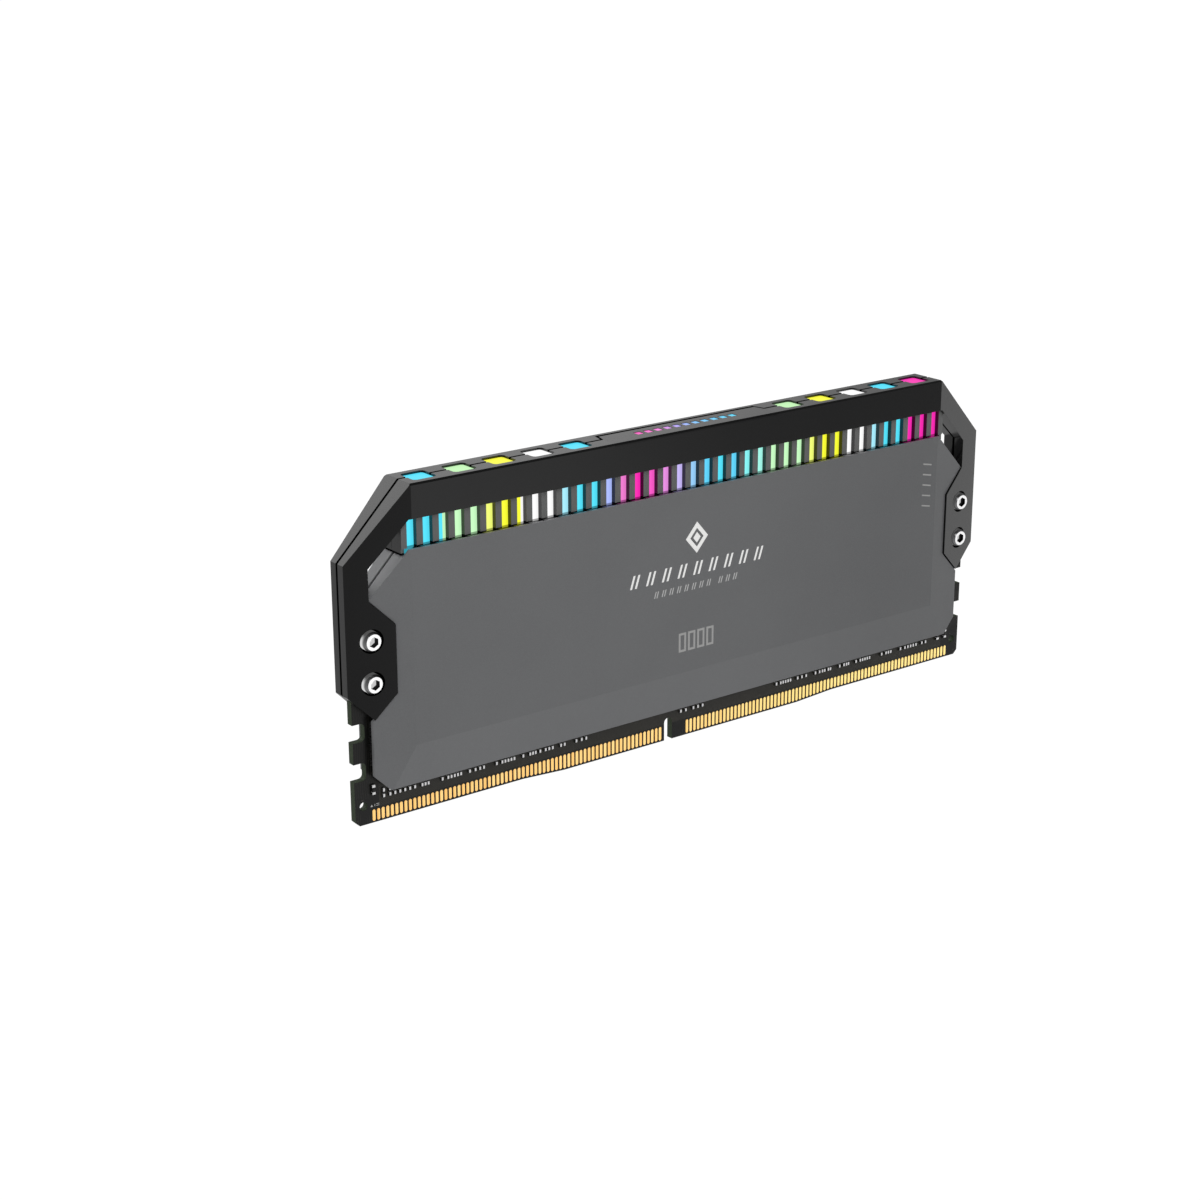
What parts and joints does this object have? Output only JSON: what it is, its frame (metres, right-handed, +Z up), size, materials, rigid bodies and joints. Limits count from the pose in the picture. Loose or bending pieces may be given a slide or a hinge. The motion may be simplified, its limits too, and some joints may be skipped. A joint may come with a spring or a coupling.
{
  "type": "memory module",
  "caption": "Memory module with a gold card edge, split metal heat spreader, and a screwed-on top frame holding lit bars between fins and lit top windows.",
  "frame": {"origin": "middle of the module's length and thickness, on the lowest edge of the card, which is the middle stretch of the contact edge", "axes": "+Z up out of the socket, -Y the component side (front face), +X to the right when looking at the front face; X is the length, Y the thickness"},
  "size_m": [0.1358, 0.0072, 0.0556],
  "materials": {
    "solder_mask": "satin black solder mask on glass-fibre board",
    "gold_plate": "bright gold plating",
    "epoxy": "moulded epoxy package",
    "ferrite": "moulded inductor",
    "capacitor": "ceramic capacitor body",
    "tin_plate": "tinned terminals",
    "thermal_pad": "soft gap-filler pad",
    "spreader_metal": "satin grey anodised, fine bead-blast grain",
    "frame_metal": "black anodised, fine grain",
    "fin_metal": "grey anodised",
    "dark_plastic": "glossy black moulded strip",
    "lit_diffuser": "milky diffuser, lit in changing colours along its length",
    "lit_window": "milky window, lit",
    "lit_strip": "milky strip, lit",
    "green_mask": "dark green solder mask",
    "led_phosphor": "white-bodied LED package",
    "connector": "nylon connector body",
    "steel": "ground dowel",
    "bright_steel": "polished socket-head fastener"
  },
  "bodies": {
    "root": {"pcb": "solder_mask", "contacts_front": "gold_plate", "contacts_back": "gold_plate", "dram_chips": "epoxy", "pmic": "epoxy", "spd_hub": "epoxy", "inductors": "ferrite", "bulk_capacitors": "capacitor", "chip_part_bodies": "capacitor", "chip_part_terminals": "tin_plate", "thermal_pads_front": "thermal_pad", "thermal_pad_power": "thermal_pad", "thermal_pad_back": "thermal_pad", "heat_spreader_front": "spreader_metal", "heat_spreader_back": "spreader_metal", "frame_front": "frame_metal", "frame_back": "frame_metal", "fin_comb_front": "fin_metal", "fin_comb_back": "fin_metal", "light_guide": "lit_diffuser", "guide_tray_front": "dark_plastic", "guide_tray_back": "dark_plastic", "window_lenses": "lit_window", "tab_light_bars": "lit_strip", "led_board": "green_mask", "leds": "led_phosphor", "led_driver": "epoxy", "edge_header": "connector", "led_socket": "connector", "frame_dowels": "steel", "screws": "bright_steel", "barrel_nuts": "bright_steel"}
  },
  "joints": []
}
